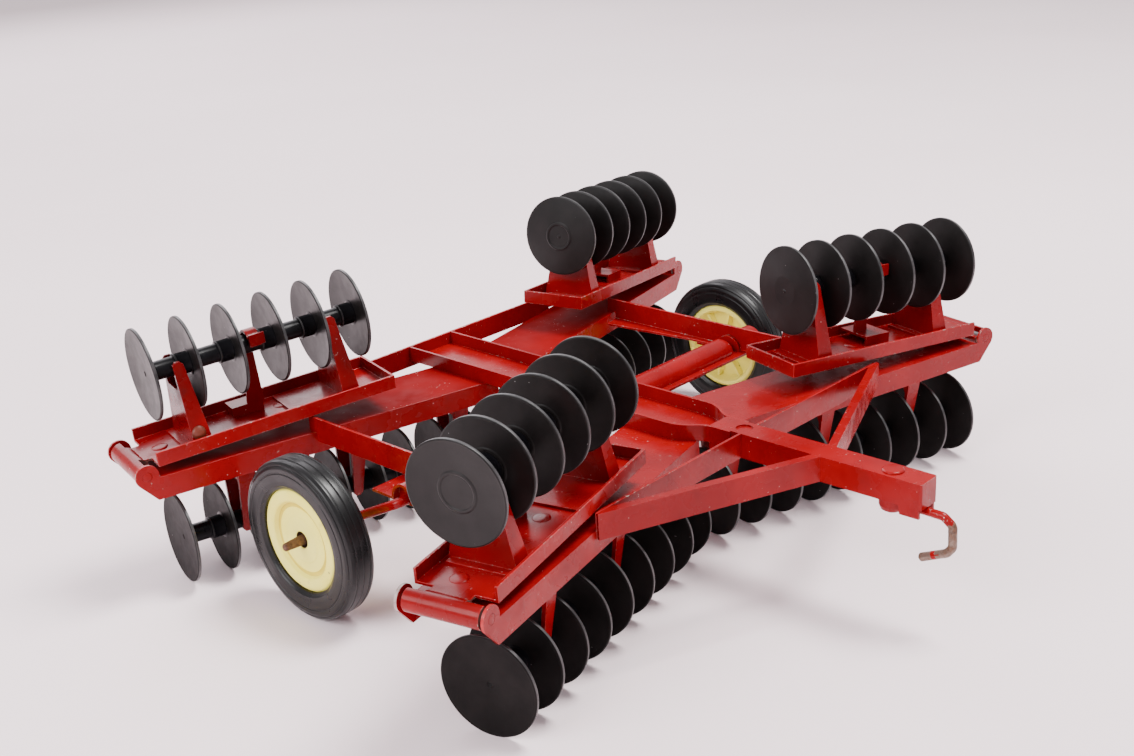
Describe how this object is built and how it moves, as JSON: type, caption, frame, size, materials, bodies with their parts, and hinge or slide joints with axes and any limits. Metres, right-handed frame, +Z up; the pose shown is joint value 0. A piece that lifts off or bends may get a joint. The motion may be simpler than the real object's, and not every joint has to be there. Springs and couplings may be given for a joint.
{
  "type": "toy disc harrow",
  "caption": "Pressed-metal toy disc harrow with folding wings, turning disc gangs, a wire hitch hook and plastic wheels on a bent-rod crank axle.",
  "frame": {"origin": "middle of the bounding box, on the floor", "axes": "+X across to the machine's left-hand side, +Y rearwards (the hitch points to -Y), +Z up"},
  "size_m": [0.3124, 0.2702, 0.1079],
  "materials": {
    "red_paint": "gloss",
    "disc_plastic": "satin",
    "hub_plastic": "semi-gloss",
    "tyre": "satin",
    "pin_steel": "dull",
    "bare_wire": "rusty"
  },
  "bodies": {
    "frame": {"drawbar": "red_paint", "hitch_rivet": "red_paint", "hitch_hook": "bare_wire", "hook_stud": "bare_wire", "centre_trough": "red_paint", "rear_cross_rail": "red_paint", "side_rail_right": "red_paint", "side_rail_left": "red_paint", "cross_tube_right": "red_paint", "axle_bearing_right": "red_paint", "cross_tube_left": "red_paint", "axle_bearing_left": "red_paint", "front_cross_strip_right": "red_paint", "front_brace_right": "red_paint", "front_cross_strip_left": "red_paint", "front_brace_left": "red_paint", "front_beam_right": "red_paint", "hinge_pin_front_right": "pin_steel", "front_gang_brackets_right": "red_paint", "front_beam_left": "red_paint", "hinge_pin_front_left": "pin_steel", "front_gang_brackets_left": "red_paint", "rear_beam_right": "red_paint", "hinge_pin_rear_right": "pin_steel", "rear_gang_brackets_right": "red_paint", "rear_beam_left": "red_paint", "hinge_pin_rear_left": "pin_steel", "rear_gang_brackets_left": "red_paint"},
    "wing_front_right": {"wing_tray_front_right": "red_paint", "wing_brackets_front_right": "red_paint"},
    "disc_gang_front_right_wing": {"wing_gang_front_right": "disc_plastic"},
    "disc_gang_front_right": {"front_gang_right": "disc_plastic"},
    "wing_front_left": {"wing_tray_front_left": "red_paint", "wing_brackets_front_left": "red_paint"},
    "disc_gang_front_left_wing": {"wing_gang_front_left": "disc_plastic"},
    "disc_gang_front_left": {"front_gang_left": "disc_plastic"},
    "wing_rear_right": {"wing_tray_rear_right": "red_paint", "wing_brackets_rear_right": "red_paint"},
    "disc_gang_rear_right_wing": {"wing_gang_rear_right": "disc_plastic"},
    "disc_gang_rear_right": {"rear_gang_right": "disc_plastic"},
    "wing_rear_left": {"wing_tray_rear_left": "red_paint", "wing_brackets_rear_left": "red_paint"},
    "disc_gang_rear_left_wing": {"wing_gang_rear_left": "disc_plastic"},
    "disc_gang_rear_left": {"rear_gang_left": "disc_plastic"},
    "axle_crank": {"crank_axle": "red_paint"},
    "wheel_right": {"wheel_hub_right": "hub_plastic", "tyre_right": "tyre"},
    "wheel_left": {"wheel_hub_left": "hub_plastic", "tyre_left": "tyre"}
  },
  "joints": [
    {"name": "wing_front_right_fold", "type": "hinge", "parent": "frame", "child": "wing_front_right", "pos_m": [-0.14721, -0.05626, 0.0501], "axis": [0.2368, -0.9715, 0], "range_deg": [0, 177.3]},
    {"name": "disc_gang_front_right_wing_spin", "type": "hinge", "parent": "wing_front_right", "child": "disc_gang_front_right_wing", "pos_m": [-0.09719, -0.03975, 0.08444], "axis": [-0.97, -0.2401, -0.0384], "continuous": true},
    {"name": "disc_gang_front_right_spin", "type": "hinge", "parent": "frame", "child": "disc_gang_front_right", "pos_m": [-0.07225, -0.03798, 0.0175], "axis": [-0.9715, -0.2368, 0], "continuous": true},
    {"name": "wing_front_left_fold", "type": "hinge", "parent": "frame", "child": "wing_front_left", "pos_m": [0.14721, -0.05626, 0.0501], "axis": [0.2368, 0.9715, 0], "range_deg": [0, 176.8]},
    {"name": "disc_gang_front_left_wing_spin", "type": "hinge", "parent": "wing_front_left", "child": "disc_gang_front_left_wing", "pos_m": [0.09814, -0.03784, 0.08489], "axis": [0.9616, -0.2703, -0.0471], "continuous": true},
    {"name": "disc_gang_front_left_spin", "type": "hinge", "parent": "frame", "child": "disc_gang_front_left", "pos_m": [0.07225, -0.03798, 0.0175], "axis": [0.9715, -0.2368, 0], "continuous": true},
    {"name": "wing_rear_right_fold", "type": "hinge", "parent": "frame", "child": "wing_rear_right", "pos_m": [-0.14903, 0.1147, 0.0501], "axis": [-0.2147, -0.9767, 0], "range_deg": [0, 176.1]},
    {"name": "disc_gang_rear_right_wing_spin", "type": "hinge", "parent": "wing_rear_right", "child": "disc_gang_rear_right_wing", "pos_m": [-0.09778, 0.10619, 0.08554], "axis": [-0.9686, 0.2415, -0.0593], "continuous": true},
    {"name": "disc_gang_rear_right_spin", "type": "hinge", "parent": "frame", "child": "disc_gang_rear_right", "pos_m": [-0.07367, 0.09813, 0.0175], "axis": [-0.9767, 0.2147, 0], "continuous": true},
    {"name": "wing_rear_left_fold", "type": "hinge", "parent": "frame", "child": "wing_rear_left", "pos_m": [0.14903, 0.1147, 0.0501], "axis": [-0.2147, 0.9767, 0], "range_deg": [0, 174.5]},
    {"name": "disc_gang_rear_left_wing_spin", "type": "hinge", "parent": "wing_rear_left", "child": "disc_gang_rear_left_wing", "pos_m": [0.09916, 0.10485, 0.08697], "axis": [0.9674, 0.2377, -0.0871], "continuous": true},
    {"name": "disc_gang_rear_left_spin", "type": "hinge", "parent": "frame", "child": "disc_gang_rear_left", "pos_m": [0.07367, 0.09813, 0.0175], "axis": [0.9767, 0.2147, 0], "continuous": true},
    {"name": "wheel_lift", "type": "hinge", "parent": "frame", "child": "axle_crank", "pos_m": [0, 0.0222, 0.0445], "axis": [1, 0, 0], "range_deg": [-35, 30]},
    {"name": "wheel_right_spin", "type": "hinge", "parent": "axle_crank", "child": "wheel_right", "pos_m": [-0.1218, 0.05121, 0.0303], "axis": [1, 0, 0], "continuous": true},
    {"name": "wheel_left_spin", "type": "hinge", "parent": "axle_crank", "child": "wheel_left", "pos_m": [0.1218, 0.05121, 0.0303], "axis": [1, 0, 0], "continuous": true}
  ]
}
